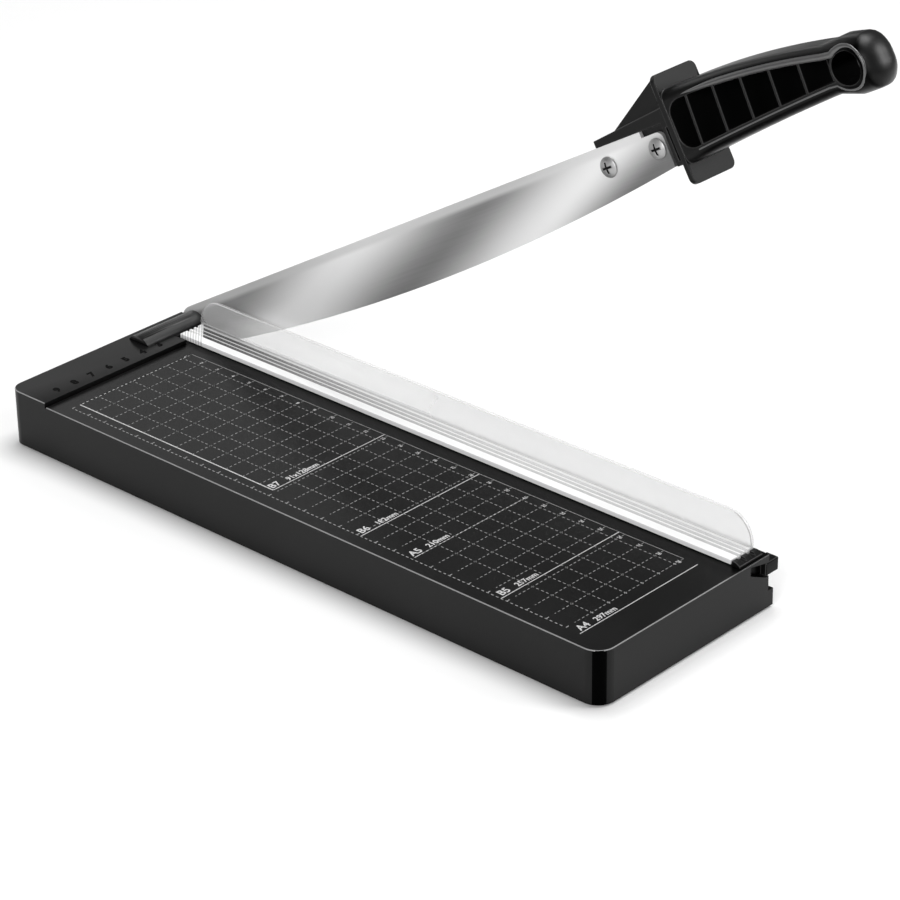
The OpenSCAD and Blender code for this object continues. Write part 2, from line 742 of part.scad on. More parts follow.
module guard_keeper() color(black) {
    translate([keeper_x0, flange_y, table_h]) {
        cube([keeper_l, flange_w, keeper_base_t]);
        for (i = [0:lug_n - 1]) translate([0, (flange_w - lug_w) * i / (lug_n - 1) + lug_w, 0])
            rotate([90, 0, 0]) linear_extrude(lug_w) polygon(lug_outline);
    }
    for (p = keeper_pin_at) translate([p[0], p[1], table_h - keeper_pin_l])
        cylinder(r = keeper_pin_r, h = keeper_pin_l + eps);
}

module lock_plate() color(black) difference() {
    box(
        [housing_x0, housing_y0, channel_z0 - lock_plate_t],
        [right - wall_t - slide_gap, inner_rear - slide_gap, channel_z0]
    );
    for (x = plate_screw_x) translate([x, plate_screw_y, channel_z0 - lock_plate_t - 1])
        cylinder(r = plate_screw_r + seat_gap, h = lock_plate_t + 2);
}

module lock_plate_screws() color(steel) for (x = plate_screw_x)
    translate([x, plate_screw_y, channel_z0 - lock_plate_t]) rotate([180, 0, 0])
        pan_screw(plate_screw_head_r, plate_screw_head_h, plate_screw_r, lock_plate_t + plate_screw_bite);

module lock_slider() color(black) {
    box([slider_x1 - slider_l, slider_y0, finger_z0], [slider_x1, slider_y1, finger_z1]);
    box([web_x0, slider_y1 - 1, finger_z0], [slider_x1, finger_y0 + 1, finger_z1]);
    box([right - finger_w, finger_y0, finger_z0], [right, rear + finger_out, finger_z1]);
}

// Outline of the blade: round heel, bowed edge, square tip with a rounded corner, stepped spine
heel_r = spine_v;
edge_steps = 24;
function edge_v(t) = (heel_v - tip_v) * t - heel_v - edge_belly * (1 - pow(2 * t - 1, 2));
module blade_outline() {
    edge = [for (i = [0:edge_steps]) let (t = i / edge_steps) [heel_u + (blade_l - heel_u) * t, edge_v(t)]];
    corner = [blade_l - tip_corner_r, spine_v - tip_step - tip_corner_r];
    polygon(concat(
        [for (a = [90:7.5:240]) heel_r * [cos(a), sin(a)]],
        edge,
        [for (a = [0:15:90]) corner + tip_corner_r * [cos(a), sin(a)]],
        [[blade_l - tip_step_l, spine_v - tip_step], [blade_l - tip_step_l, spine_v]]
    ));
}

module blade() color(steel) on_arm() difference() {
    arm_plate(blade_near, blade_far) blade_outline();
    along_y(bush_r, 0, blade_far + 1);
    for (u = arm_screw_u) translate([u, 0, arm_screw_v]) along_y(arm_screw_r + seat_gap, 0, blade_far + 1);
}

module pivot_bush() color(brass) on_arm() difference() {
    along_y(bush_r, blade_near, blade_far);
    along_y(bolt_r + run_fit, 0, blade_far + 1);
}

// Pockets between the ribs of the grip, as a flat outline of what is cut away
pocket_s0 = 1;
ring_s = grip_l - 11.7;
ring_v = (grip_top(ring_s) + grip_low(ring_s)) / 2;
ring_wall = 1.2;
rib_s0 = 9.5;
rib_lean = 3.5;
pocket_steps = 10;
pocket_s1 = pocket_s0 + pocket_corner_r;
pocket_s = [for (i = [0:pocket_steps]) pocket_s1 + (ring_s - pocket_s1) * i / pocket_steps];
function pocket_top(s) = grip_top(min(s, bulb_s)) - rim_w;
function pocket_low(s) = grip_low(min(s, bulb_s)) + rim_w;
module grip_pockets() translate([grip_u, 0]) difference() {
    polygon(concat(
        [
            for (a = [180:-15:105])
                [pocket_s1, pocket_top(pocket_s1) - pocket_corner_r] + pocket_corner_r * [cos(a), sin(a)]
        ],
        [for (s = pocket_s) [s, pocket_top(s)]],
        [for (i = [pocket_steps:-1:0]) [pocket_s[i], pocket_low(pocket_s[i])]],
        [
            for (a = [255:-15:180])
                [pocket_s1, pocket_low(pocket_s1) + pocket_corner_r] + pocket_corner_r * [cos(a), sin(a)]
        ]
    ));
    for (k = [0:grip_ribs - 1]) translate([rib_s0 + k * grip_rib_pitch, 0]) rotate(-rib_lean)
        translate([-grip_rib_t / 2, -2 * grip_belly]) square([grip_rib_t, 2 * grip_belly + 2 * grip_crest]);
    translate([ring_s, ring_v]) circle(ring_r + ring_wall);
}

// Rectangle with rounded corners, its low corner at the origin
module round_rect(size, r) {
    translate([0, r]) square([size[0], size[1] - 2 * r]);
    translate([r, 0]) square([size[0] - 2 * r, size[1]]);
    for (x = [r, size[0] - r], y = [r, size[1] - r]) translate([x, y]) circle(r);
}

module cross_guard() {
    translate([plate_u, 0, 0]) rotate([90, 0, 90]) linear_extrude(plate_t + eps)
        translate([blade_mid - plate_half, -plate_bottom])
            round_rect([2 * plate_half, plate_top + plate_bottom], plate_corner_r);
}

// Tang behind the blade, the strip along the spine, the gusset and the rims of the neck
tang_u0 = plate_u - tang_l;
tang_taper = 2;
front_rim = blade_near + 0.1;
gusset_u0 = tang_u0 + gusset_in;
gusset_top_l = 14;
gusset_drop = 1.5;
neck_u0 = blade_l + 1;
strip_outline = [
    [plate_u + eps, spine_v + strip_high], [gusset_u0, spine_v + strip_low], [tang_u0, spine_v + strip_low]
];
module tang() {
    arm_plate(blade_far, tang_far)
        polygon(concat([[tang_u0, tang_taper - neck_v], [plate_u + eps, -neck_v]], strip_outline));
    arm_plate(front_rim, blade_far + eps)
        polygon(concat([[tang_u0, spine_v], [plate_u + eps, spine_v]], strip_outline));
    arm_plate(tang_far - gusset_t, tang_far) polygon([
        [gusset_u0, spine_v], [plate_u + eps, spine_v], [plate_u + eps, plate_top - gusset_drop],
        [plate_u - gusset_top_l, plate_top - gusset_drop]
    ]);
    arm_plate(front_rim, blade_far + eps) difference() {
        translate([neck_u0, -neck_v]) square([plate_u - neck_u0 + eps, neck_v + spine_v + eps]);
        translate([neck_u0 + neck_rim_t, neck_rim_t - neck_v])
            square([plate_u - neck_u0 - 2 * neck_rim_t, neck_v + spine_v - 2 * neck_rim_t]);
    }
}

module handle() color(black) on_arm() difference() {
    union() {
        loft(grip_rings);
        cross_guard();
        tang();
    }
    pocket_near = blade_mid - plate_half - 1;
    pocket_far = blade_mid + grip_half_end - skin_t;
    arm_plate(pocket_near, pocket_far) grip_pockets();
    translate([grip_u + ring_s, 0, ring_v]) along_y(ring_r, pocket_near, pocket_far);
    for (u = arm_screw_u) translate([u, 0, arm_screw_v])
        along_y(arm_screw_r + seat_gap, 0, tang_far + 1);
    for (p = strike_screw_at) translate([p[0], 0, p[1]])
        along_y(strike_screw_r + seat_gap, tang_far - strike_screw_bite - seat_gap, tang_far + 1);
}

module handle_screws() color(steel) on_arm() for (u = arm_screw_u)
    translate([u, blade_near, arm_screw_v]) rotate([90, 0, 0])
        pan_screw(arm_screw_head_r, arm_screw_head_h, arm_screw_r, arm_screw_l);

module handle_nuts() color(steel) on_arm() for (u = arm_screw_u)
    translate([u, tang_far + arm_nut_h, arm_screw_v]) rotate([90, 0, 0]) difference() {
        cylinder(r = arm_nut_r, h = arm_nut_h, $fn = 6);
        translate([0, 0, -1]) cylinder(r = arm_screw_r + seat_gap, h = arm_nut_h + 2);
    }

// Strike: plate on the back of the neck, with a leg and a toe that reaches under the lock's finger
module lock_strike() color(steel) on_arm() difference() {
    union() {
        arm_plate(tang_far, strike_far) polygon([
            [toe_u0, toe_v - toe_t], [toe_u1, toe_v - toe_t], [strike_u1, -neck_v],
            [strike_u1, strike_top], [strike_u1 - strike_w, strike_top], [toe_u0, -neck_v]
        ]);
        arm_plate(finger_out - toe_reach, strike_far)
            translate([toe_u0, toe_v - toe_t]) square([toe_l, toe_t]);
    }
    for (p = strike_screw_at) translate([p[0], 0, p[1]])
        along_y(strike_screw_r + seat_gap, 0, strike_far + 1);
}

module strike_screws() color(steel) on_arm() for (p = strike_screw_at)
    translate([p[0], strike_far, p[1]]) rotate([-90, 0, 0])
        pan_screw(strike_screw_head_r, strike_screw_head_h, strike_screw_r, strike_t + strike_screw_bite);

// Guard: grooved flange, upright with rounded top corners, and two guide pegs under the flange
module guard_flange() difference() {
    box([guard_x0, flange_y, flange_z], [guard_x1, upright_y + upright_t, flange_z + flange_t]);
    translate([guard_x0 - 1, flange_y + groove_in, flange_z + flange_t - groove_d])
        for (i = [0:groove_n - 1]) translate([0, i * groove_pitch, 0])
            cube([guard_l + 2, groove_w, groove_d + 1]);
}

module guard_upright() translate([guard_x0, upright_y + upright_t, flange_z]) rotate([90, 0, 0])
    linear_extrude(upright_t) intersection() {
        translate([0, -upright_r]) round_rect([guard_l, upright_top + upright_r], upright_r);
        square([guard_l, upright_top]);
    }

module clear_guard() color(clear) difference() {
    union() {
        guard_flange();
        guard_upright();
        for (p = peg_at) translate([p[0], p[1], peg_end]) cylinder(r = peg_r, h = flange_z - peg_end + eps);
    }
    for (p = peg_at) translate([p[0], p[1], peg_end - eps])
        cylinder(r = guard_screw_r + seat_gap, h = guard_screw_l + seat_gap);
}

module guard_screws() color(steel) for (p = peg_at) translate([p[0], p[1], peg_end]) rotate([180, 0, 0])
    pan_screw(guard_screw_head_r, guard_screw_head_h, guard_screw_r, guard_screw_l);

base_shell();
foot_front_left();
foot_front_right();
foot_rear_left();
foot_rear_right();
foot_middle();
fixed_knife();
knife_screws();
pivot_bolt();
pivot_washer();
pivot_spring();
spring_washer();
pivot_nut();
guard_keeper();
lock_plate();
lock_plate_screws();
blade();
pivot_bush();
handle();
handle_screws();
handle_nuts();
lock_strike();
strike_screws();
clear_guard();
guard_screws();
lock_slider();
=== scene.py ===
import json
import math

import bmesh
import bpy
from mathutils import Matrix, Vector


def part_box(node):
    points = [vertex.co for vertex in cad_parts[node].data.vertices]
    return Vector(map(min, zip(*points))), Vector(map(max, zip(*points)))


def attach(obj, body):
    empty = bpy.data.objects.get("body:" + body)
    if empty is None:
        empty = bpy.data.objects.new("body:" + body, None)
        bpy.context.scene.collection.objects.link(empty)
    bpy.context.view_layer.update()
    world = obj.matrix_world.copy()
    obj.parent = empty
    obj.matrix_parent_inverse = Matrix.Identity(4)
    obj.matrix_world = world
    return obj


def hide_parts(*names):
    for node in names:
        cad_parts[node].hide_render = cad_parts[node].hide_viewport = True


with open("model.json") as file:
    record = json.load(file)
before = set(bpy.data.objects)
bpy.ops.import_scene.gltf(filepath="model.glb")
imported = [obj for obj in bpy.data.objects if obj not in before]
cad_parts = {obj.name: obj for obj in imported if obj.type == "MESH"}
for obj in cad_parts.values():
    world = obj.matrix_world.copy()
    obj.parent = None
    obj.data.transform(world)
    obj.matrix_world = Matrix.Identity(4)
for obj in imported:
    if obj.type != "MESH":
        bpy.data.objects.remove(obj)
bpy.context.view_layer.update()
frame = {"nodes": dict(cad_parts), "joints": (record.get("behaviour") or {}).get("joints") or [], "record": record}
mm = 0.001
weld = 0.001 * mm                                     # vertices this close become one
same = 0.01 * mm                                      # places this close are level
close = 0.1 * mm                                      # places this close lie on one wall
square = 0.9                                          # a normal with this much of a direction faces it
slanted = 0.5                                         # a normal with this much of it leans that way

record = frame["record"]
bodyOf = {node: body for body, nodes in record["behaviour"]["bodies"].items() for node in nodes}
slotOf = {part["node"]: part["material_slot"] for part in record["subparts"]}
baseLow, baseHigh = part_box("base_shell")
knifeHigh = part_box("fixed_knife")[1]
guardLow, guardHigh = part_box("clear_guard")
tableZ = knifeHigh.z                                  # top of the table
cutY = knifeHigh.y                                    # cutting edge
hinge = next(j for j in frame["joints"] if j["name"] == "arm_hinge")
pivot = Vector(hinge["pos_m"])
armAngle = math.radians(30.4)                         # arm above the table, at rest
armAlong = Vector((math.cos(armAngle), 0, math.sin(armAngle)))
armUp = Vector((-math.sin(armAngle), 0, math.cos(armAngle)))
gripStart = 332.2                                     # mm from the pivot to the cross-guard's near side


# shader maths: a socket that can be added, multiplied and so on
class Wire:
    def __init__(self, tree, socket=None):
        self.tree = tree
        self.socket = socket

    def node(self, kind, settings=None, sockets=None, out=0):
        made = self.tree.nodes.new("ShaderNode" + kind)
        for name, value in (settings or {}).items():
            if name == "stops":
                fillRamp(made.color_ramp, value)
            else:
                setattr(made, name, value)
        self.plug(made, sockets or {})
        return Wire(self.tree, made.outputs[out])

    def plug(self, node, sockets):                    # links wires and sets plain values
        for name, value in sockets.items():
            if isinstance(value, Wire):
                self.tree.links.new(value.socket, node.inputs[name])
            else:
                node.inputs[name].default_value = value

    def maths(self, operation, first, second=0.0):
        return self.node("Math", {"operation": operation}, {0: first, 1: second})

    def __add__(self, other):
        return self.maths("ADD", self, other)

    def __sub__(self, other):
        return self.maths("SUBTRACT", self, other)

    def __rsub__(self, other):
        return self.maths("SUBTRACT", other, self)

    def __mul__(self, other):
        return self.maths("MULTIPLY", self, other)

    __radd__ = __add__
    __rmul__ = __mul__

    def step(self, low, high):                        # 0 at low, 1 at high, smooth between
        settings = {"interpolation_type": "SMOOTHSTEP"}
        return self.node("MapRange", settings, {"Value": self, "From Min": low, "From Max": high})

    def past(self, start, span):                      # the same over a span in mm from a starting place
        return self.step(start + span[0] * mm, start + span[1] * mm)


def fillRamp(ramp, stops):
    ramp.interpolation = "EASE"
    while len(ramp.elements) < len(stops):
        ramp.elements.new(0.5)
    for element, (place, colour) in zip(ramp.elements, stops):
        element.position = place
        element.color = colour


def grey(value):
    return (value, value, value, 1.0)


def newMaterial(name):
    material = bpy.data.materials.new(name)
    material.use_nodes = True
    tree = material.node_tree
    return material, Wire(tree), tree.nodes["Principled BSDF"]


def objectPlace(wires):
    return wires.node("TexCoord", out="Object")


def splitPlace(wires, place):
    return [wires.node("SeparateXYZ", {}, {"Vector": place}, out=i) for i in range(3)]


def noise(wires, place, scale, detail=3.0, roughness=0.55):
    sockets = {"Vector": place, "Scale": scale, "Detail": detail, "Roughness": roughness}
    return wires.node("TexNoise", {}, sockets)


def roughly(middle, wire, spread):                    # wanders about a middle value
    return wire * spread + (middle - spread / 2)


def bump(wires, height, strength, depth):             # depth in mm
    return wires.node("Bump", {}, {"Height": height, "Strength": strength, "Distance": depth * mm})


def blend(wires, factor, first, second):              # a Mix node's colours are its sockets 6 and 7
    return wires.node("Mix", {"data_type": "RGBA"}, {0: factor, 6: first, 7: second}, out=2)


def faceMask(wires, layer):                           # number kept on the mesh's faces
    return wires.node("Attribute", {"attribute_name": layer}, out="Fac")


def towards(wires, vector, direction):                # how far a vector goes in one direction
    return wires.node("VectorMath", {"operation": "DOT_PRODUCT"}, {0: vector, 1: direction}, out="Value")


def plainMasks(wires):                                # where a moulding is black, and where it is glossy
    return faceMask(wires, "shade"), 0.0


# base: painted shade darkens the table in a strip beside the guard, the barrel is glossy; spans in mm from the
# guard or the table top
baseTones = {
    "strip": (-12, -1), "stripShade": 0.75, "tableFrom": (-0.4, -0.2), "tableTo": (0.1, 0.3),
    "barrel": (2.0, 2.6),
}


def baseMasks(wires):
    y, z = splitPlace(wires, objectPlace(wires))[1:]
    onTable = z.past(tableZ, baseTones["tableFrom"]) * (1 - z.past(tableZ, baseTones["tableTo"]))
    # painted shade in a strip of table beside the guard
    beside = y.past(guardLow.y, baseTones["strip"]) * onTable * baseTones["stripShade"]
    return wires.maths("MAXIMUM", faceMask(wires, "shade"), beside), z.past(tableZ, baseTones["barrel"])


# handle: painted shade makes the grip's underside and the bulb's near side black, glossy on its end and top; grip
# and bulb are spans in mm along the grip, and the other pairs are shares of the normal
gripTones = {
    "grip": (1, 14), "bulb": (86, 92), "under": (-0.5, -0.05), "near": (0.1, 0.45), "nearEnd": (0.6, 0.85),
    "end": (0.45, 0.85), "top": (0.4, 0.9), "topShare": 0.7, "shade": 0.9, "gloss": 0.5,
}


def gripMasks(wires):
    normal = wires.node("TexCoord", out="Normal")
    s = towards(wires, objectPlace(wires), armAlong) - (pivot.dot(armAlong) + gripStart * mm)
    along, up, near = (towards(wires, normal, way) for way in (armAlong, armUp, (0, -1, 0)))
    onGrip, onBulb = s.past(0, gripTones["grip"]), s.past(0, gripTones["bulb"])
    # painted shade: black under the grip
    under = (1 - up.step(*gripTones["under"])) * onGrip
    # painted shade on the near side of the bulb
    side = near.step(*gripTones["near"]) * onBulb * (1 - along.step(*gripTones["nearEnd"]))
    end = along.step(*gripTones["end"]) * onBulb
    top = up.step(*gripTones["top"]) * onGrip * gripTones["topShare"]
    shade = wires.maths("MAXIMUM", under, side) * gripTones["shade"]
    return shade, wires.maths("MAXIMUM", end, top) * gripTones["gloss"]


# moulded plastic: fine grain, edges painted pale as a highlight, black where painted shade is masked
moulding = {
    "cloud": 18.0, "cloudShare": 0.6, "mottle": (0.3, 0.7), "black": 0.001, "cloudRough": 0.1,
    "fineRough": 0.08, "edgeSmooth": 0.1, "coatRough": 0.4, "bump": 0.1, "bumpDepth": 0.05,
}


def mouldedPlastic(name, look, masks=plainMasks):
    material, wires, shader = newMaterial(name)
    place = objectPlace(wires)
    cloud = noise(wires, place, moulding["cloud"], detail=2.0)
    fine = noise(wires, place, look["grain"], detail=2.0, roughness=0.7)
    edge = faceMask(wires, "edge")
    shade, gloss = masks(wires)
    mottle = (cloud * moulding["cloudShare"] + fine * (1 - moulding["cloudShare"])).step(*moulding["mottle"])
    tone = blend(wires, mottle, grey(look["dark"]), grey(look["pale"]))
    # painted highlight on the bevelled edges
    edgeLit = blend(wires, edge, tone, grey(look["edgeLightTone"]))
    rough = roughly(look["rough"], cloud, moulding["cloudRough"]) + roughly(0.0, fine, moulding["fineRough"])
    wires.plug(shader, {
        # painted shade: black where the shade mask is set
        "Base Color": blend(wires, shade, edgeLit, grey(moulding["black"])),
        "Metallic": shade,
        "Roughness": rough - edge * moulding["edgeSmooth"],
        "Specular IOR Level": look["sheen"],
        "Coat Weight": gloss,
        "Coat Roughness": moulding["coatRough"],
        "Normal": bump(wires, fine, moulding["bump"], moulding["bumpDepth"]),
    })
    return material


# ground steel: streaks along it, painted reflections in broad bands that lean across it, painted light on the heel
# and a painted highlight on the spine; lengths in mm
steel = {
    "span": 360, "streakLong": 9.0, "streakFine": 900.0, "streakTone": 0.9, "streakShare": 0.1,
    "streakRough": 0.12, "wave": 25.0, "waver": 0.02, "crest": (-1.2, 1.2), "spinePaintedHighlight": 0.66,
    "crestShare": 0.7, "heelAlong": (50, 120), "heelAcross": (-14, -2), "heelPaintedLight": 1.0, "heelShare": 0.7,
    "bump": 0.06, "bumpDepth": 0.02,
}


def brushedSteel(name, look):
    material, wires, shader = newMaterial(name)
    place = objectPlace(wires)
    x, y, z = splitPlace(wires, place)
    cosine, sine = math.cos(look["angle"]), math.sin(look["angle"])
    along = (x - pivot.x) * cosine + (z - pivot.z) * sine
    across = (z - pivot.z) * cosine - (x - pivot.x) * sine
    fine = steel["streakFine"]
    grain = wires.node("CombineXYZ", {}, {0: along * steel["streakLong"], 1: across * fine, 2: y * fine})
    streak = noise(wires, grain, 1.0, detail=4.0, roughness=0.6)
    wave = noise(wires, place, steel["wave"], detail=1.0) - 0.5
    band = (along - across * look["lean"]) * (1 / (steel["span"] * mm)) + wave * steel["waver"]
    stops = [(far / steel["span"], grey(value)) for far, value in look["bands"]]
    # painted reflections in bands along the blade
    tone = wires.node("ValToRGB", {"stops": stops}, {"Fac": band})
    # painted highlight along the spine
    crest = across.past(look["spine"] * mm, steel["crest"])
    # painted light on the heel
    heel = (1 - along.past(0, steel["heelAlong"])) * (1 - across.past(0, steel["heelAcross"]))
    lit = blend(wires, heel * steel["heelShare"], tone, grey(steel["heelPaintedLight"]))
    lit = blend(wires, crest * steel["crestShare"], lit, grey(steel["spinePaintedHighlight"]))
    wires.plug(shader, {
        "Base Color": blend(wires, streak * steel["streakShare"], lit, grey(steel["streakTone"])),
        "Metallic": look["metal"],
        "Roughness": roughly(look["rough"], streak, steel["streakRough"]),
        "Normal": bump(wires, streak, steel["bump"], steel["bumpDepth"]),
    })
    return material


# plated fasteners, with painted shade in their recesses
plating = {
    "cloud": 160.0, "patches": (0.35, 0.65), "recess": 0.015, "spread": 0.14, "bump": 0.05, "bumpDepth": 0.02,
}


def platedSteel(name, dark, pale, rough):
    material, wires, shader = newMaterial(name)
    cloud = noise(wires, objectPlace(wires), plating["cloud"])
    plate = blend(wires, cloud.step(*plating["patches"]), dark, pale)
    wires.plug(shader, {
        # painted shade in the recesses
        "Base Color": blend(wires, faceMask(wires, "shade"), plate, grey(plating["recess"])),
        "Metallic": 1.0,
        "Roughness": roughly(rough, cloud, plating["spread"]),
        "Normal": bump(wires, cloud, plating["bump"], plating["bumpDepth"]),
    })
    return material


# rubber of the feet
rubber = {
    "grain": 900.0, "dark": 0.03, "pale": 0.06, "rough": 0.775, "spread": 0.15, "sheen": 0.25, "bump": 0.3,
    "bumpDepth": 0.1,
}


def footRubber(name):
    material, wires, shader = newMaterial(name)
    fine = noise(wires, objectPlace(wires), rubber["grain"], roughness=0.7)
    wires.plug(shader, {
        "Base Color": blend(wires, fine, grey(rubber["dark"]), grey(rubber["pale"])),
        "Roughness": roughly(rubber["rough"], fine, rubber["spread"]),
        "Specular IOR Level": rubber["sheen"],
        "Normal": bump(wires, fine, rubber["bump"], rubber["bumpDepth"]),
    })
    return material


# clear plastic: flange that is milky to the right and clearer to the left, ridged mitre at its left end, hazy
# upright whose edges carry a painted highlight, grey at its right end; spans in mm, solid is how little shows
# through
clear = {
    "flangeTop": 13.1, "flangeEdge": (0, 0.6), "groove": (-0.6, -0.1), "ribs": (4.2, 4.4), "milky": (0, 200),
    "ridge": 1.7, "mitre": (14.3, 14.5), "leftEdge": (1, 12), "rightEdge": (-12, -6), "flangeSolid": 0.96,
    "ribLoss": 0.43, "ribMilk": 0.37, "grooveLoss": 0.48, "grooveMilk": 0.14, "ridgeSolid": 0.5,
    "ridgeGain": 0.45, "sheetSolid": 0.18, "sheetHaze": 0.06, "sheetMilk": 0.12, "edgeSolid": 0.4,
    "sheetTone": 0.8, "edgeTone": 0.85, "endTone": 0.3, "flangeTones": (0.88, 0.95), "haze": 45.0,
    "rough": 0.11, "spread": 0.06, "index": 1.49, "bump": 0.03, "bumpDepth": 0.1,
}


def clearPlastic(name):
    material, wires, shader = newMaterial(name)
    place = objectPlace(wires)
    x, y, z = splitPlace(wires, place)
    top = guardLow.z + clear["flangeTop"] * mm
    haze = noise(wires, place, clear["haze"], detail=2.0)
    edge = faceMask(wires, "edge")
    flange = 1 - z.past(top, clear["flangeEdge"])
    ribbed = y.past(guardLow.y, clear["ribs"])
    groove = wires.maths("MAXIMUM", 1 - z.past(top, clear["groove"]), edge) * ribbed
    milky = x.past(guardLow.x, clear["milky"])
    ribLoss = ribbed * (clear["ribLoss"] - milky * clear["ribMilk"])
    grooveLoss = groove * (clear["grooveLoss"] - milky * clear["grooveMilk"])
    slant = y + x - (guardLow.x + guardLow.y)
    ridge = wires.maths("PINGPONG", slant * (1 / (clear["ridge"] * mm)), 0.5) * 2      # 0 to 1 and back
    mitre = 1 - slant.past(0, clear["mitre"])
    ridged = clear["ridgeSolid"] + ridge * clear["ridgeGain"]
    flangeSolid = (clear["flangeSolid"] - ribLoss - grooveLoss) * (1 - mitre) + ridged * mitre
    paintedEdgeLight = edge * x.past(guardLow.x, clear["leftEdge"])
    sheetSolid = haze * clear["sheetHaze"] + milky * clear["sheetMilk"] + clear["sheetSolid"]
    sheetSolid = sheetSolid + paintedEdgeLight * clear["edgeSolid"]
    toEnd = x.past(guardHigh.x, clear["rightEdge"])
    edgeTone = blend(wires, toEnd, grey(clear["edgeTone"]), grey(clear["endTone"]))
    # painted highlight on the upright's edges, grey towards its right end
    sheetTone = blend(wires, edge, grey(clear["sheetTone"]), edgeTone)
    flangeTone = blend(wires, haze, *(grey(tone) for tone in clear["flangeTones"]))
    wires.plug(shader, {
        "Base Color": blend(wires, flange, sheetTone, flangeTone),
        "Roughness": roughly(clear["rough"], haze, clear["spread"]),
        "IOR": clear["index"],
        "Alpha": flange * flangeSolid + (1 - flange) * sheetSolid,
        "Normal": bump(wires, haze, clear["bump"], clear["bumpDepth"]),
    })
    return material


# printed marks, a little thin in specks
ink = {"speck": 1400.0, "patches": (0.3, 0.6), "thin": 0.6, "spread": 0.1, "sheen": 0.1}


def printInk(name, tone, rough):
    material, wires, shader = newMaterial(name)
    speck = noise(wires, objectPlace(wires), ink["speck"], detail=2.0)
    wires.plug(shader, {
        "Base Color": blend(wires, speck.step(*ink["patches"]), grey(tone * ink["thin"]), grey(tone)),
        "Roughness": roughly(rough, speck, ink["spread"]),
        "Specular IOR Level": ink["sheen"],
    })
    return material


basePlastic = {"dark": 0.002, "pale": 0.005, "edgeLightTone": 0.24, "rough": 0.36, "grain": 1900.0, "sheen": 0.18}
handlePlastic = {"dark": 0.002, "pale": 0.004, "edgeLightTone": 0.025, "rough": 0.35, "grain": 1500.0, "sheen": 0.17}
# the bead's plastic is paler than the handle's, as a painted highlight
beadHighlightPlastic = {"dark": 0.035, "pale": 0.055, "edgeLightTone": 0.06, "rough": 0.36, "grain": 1500.0, "sheen": 1.0}
bladeSteel = {                                        # bands hold mm along the blade and a tone
    "angle": armAngle, "bands": [(22, 0.28), (98, 0.97), (192, 0.18), (268, 0.84), (322, 0.12)], "lean": 2.75,
    "spine": 6, "rough": 0.5, "metal": 0.4,
}
knifeSteel = {                                        # its spine is set far off, so no crest shows
    "angle": 0.0, "bands": [(0, 0.4), (360, 0.55)], "lean": 0.0, "spine": 1000, "rough": 0.34, "metal": 1.0,
}
finishes = {
    "base": mouldedPlastic("basePlastic", basePlastic, baseMasks),
    "handle": mouldedPlastic("handlePlastic", handlePlastic, gripMasks),
    "bead": mouldedPlastic("beadHighlightPlastic", beadHighlightPlastic),
    "blade": brushedSteel("bladeSteel", bladeSteel),
    "knife": brushedSteel("knifeSteel", knifeSteel),
    "plated": platedSteel("platedSteel", grey(0.32), grey(0.45), 0.48),
    "spring": platedSteel("springSteel", grey(0.36), grey(0.5), 0.34),
    "brass": platedSteel("bushBrass", (0.5, 0.36, 0.12, 1), (0.72, 0.55, 0.25, 1), 0.3),
    "rubber": footRubber("footRubber"),
    "clear": clearPlastic("clearPlastic"),
    "ink": printInk("scaleInk", 0.34, 0.6),
    "brightInk": printInk("labelInk", 0.6, 0.6),
    "mark": printInk("fenceMark", 0.003, 0.9),
}
print("finishes made:", len(finishes))


def addObject(name, data):
    thing = bpy.data.objects.new(name, data)
    bpy.context.scene.collection.objects.link(thing)
    return thing


def newPiece(name, bm, finish, body, slot, smooth=35):      # edges sharper than smooth degrees stay sharp
    mesh = bpy.data.meshes.new(name)
    bm.to_mesh(mesh)
    bm.free()
    mesh.polygons.foreach_set("use_smooth", [True] * len(mesh.polygons))
    mesh.set_sharp_from_angle(angle=math.radians(smooth))
    mesh.materials.append(finishes[finish])
    piece = addObject(name, mesh)
    flat = piece.modifiers.new("flatFaces", "WEIGHTED_NORMAL")      # keeps large flat faces even
    flat.keep_sharp = True
    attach(piece, body)
    return piece


# copy of a node with its sharp edges rounded; rounds holds (width in mm, steps, how strong the painted highlight
# on the rounding is, which edges)
rounding = {"sharp": 40, "flat": 0.1, "steps": 2}     # sharp and flat are degrees at an edge
rounded = []


def softCopy(name, node, finish, rounds, shaded=None):
    bm = bmesh.new()
    bm.from_mesh(frame["nodes"][node].data)
    bmesh.ops.remove_doubles(bm, verts=bm.verts, dist=weld)
    bmesh.ops.dissolve_limit(bm, angle_limit=math.radians(rounding["flat"]), verts=bm.verts, edges=bm.edges)
    edgeLayer = bm.faces.layers.float.new("edge")
    sharp = math.radians(rounding["sharp"])
    for width, steps, pale, wanted in rounds:
        edges = [e for e in bm.edges if e.is_manifold and e.calc_face_angle() > sharp and wanted(e)]
        made = bmesh.ops.bevel(bm, geom=edges, offset=width * mm, affect="EDGES", segments=steps, profile=0.5,
                               material=-1)
        # the bevel's faces hold how strong their painted highlight is
        for face in made["faces"]:
            face[edgeLayer] = pale
    low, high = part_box(node)
    for vert in bm.verts:                             # rounding stays inside the node's box
        vert.co = [min(max(c, a), b) for c, a, b in zip(vert.co, low, high)]
    if shaded:
        bm.normal_update()
        shadeLayer = bm.faces.layers.float.new("shade")
        for face in bm.faces:
            face[shadeLayer] = float(shaded(face))
    piece = newPiece(name, bm, finish, bodyOf[node], slotOf[node])
    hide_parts(node)
    rounded.append(piece)


def anyEdge(edge):
    return True


def armPoint(u, y, v):                                # mm along the arm, behind and above the pivot
    x = u * math.cos(armAngle) - v * math.sin(armAngle)
    z = u * math.sin(armAngle) + v * math.cos(armAngle)
    return pivot + Vector((x, y, z)) * mm


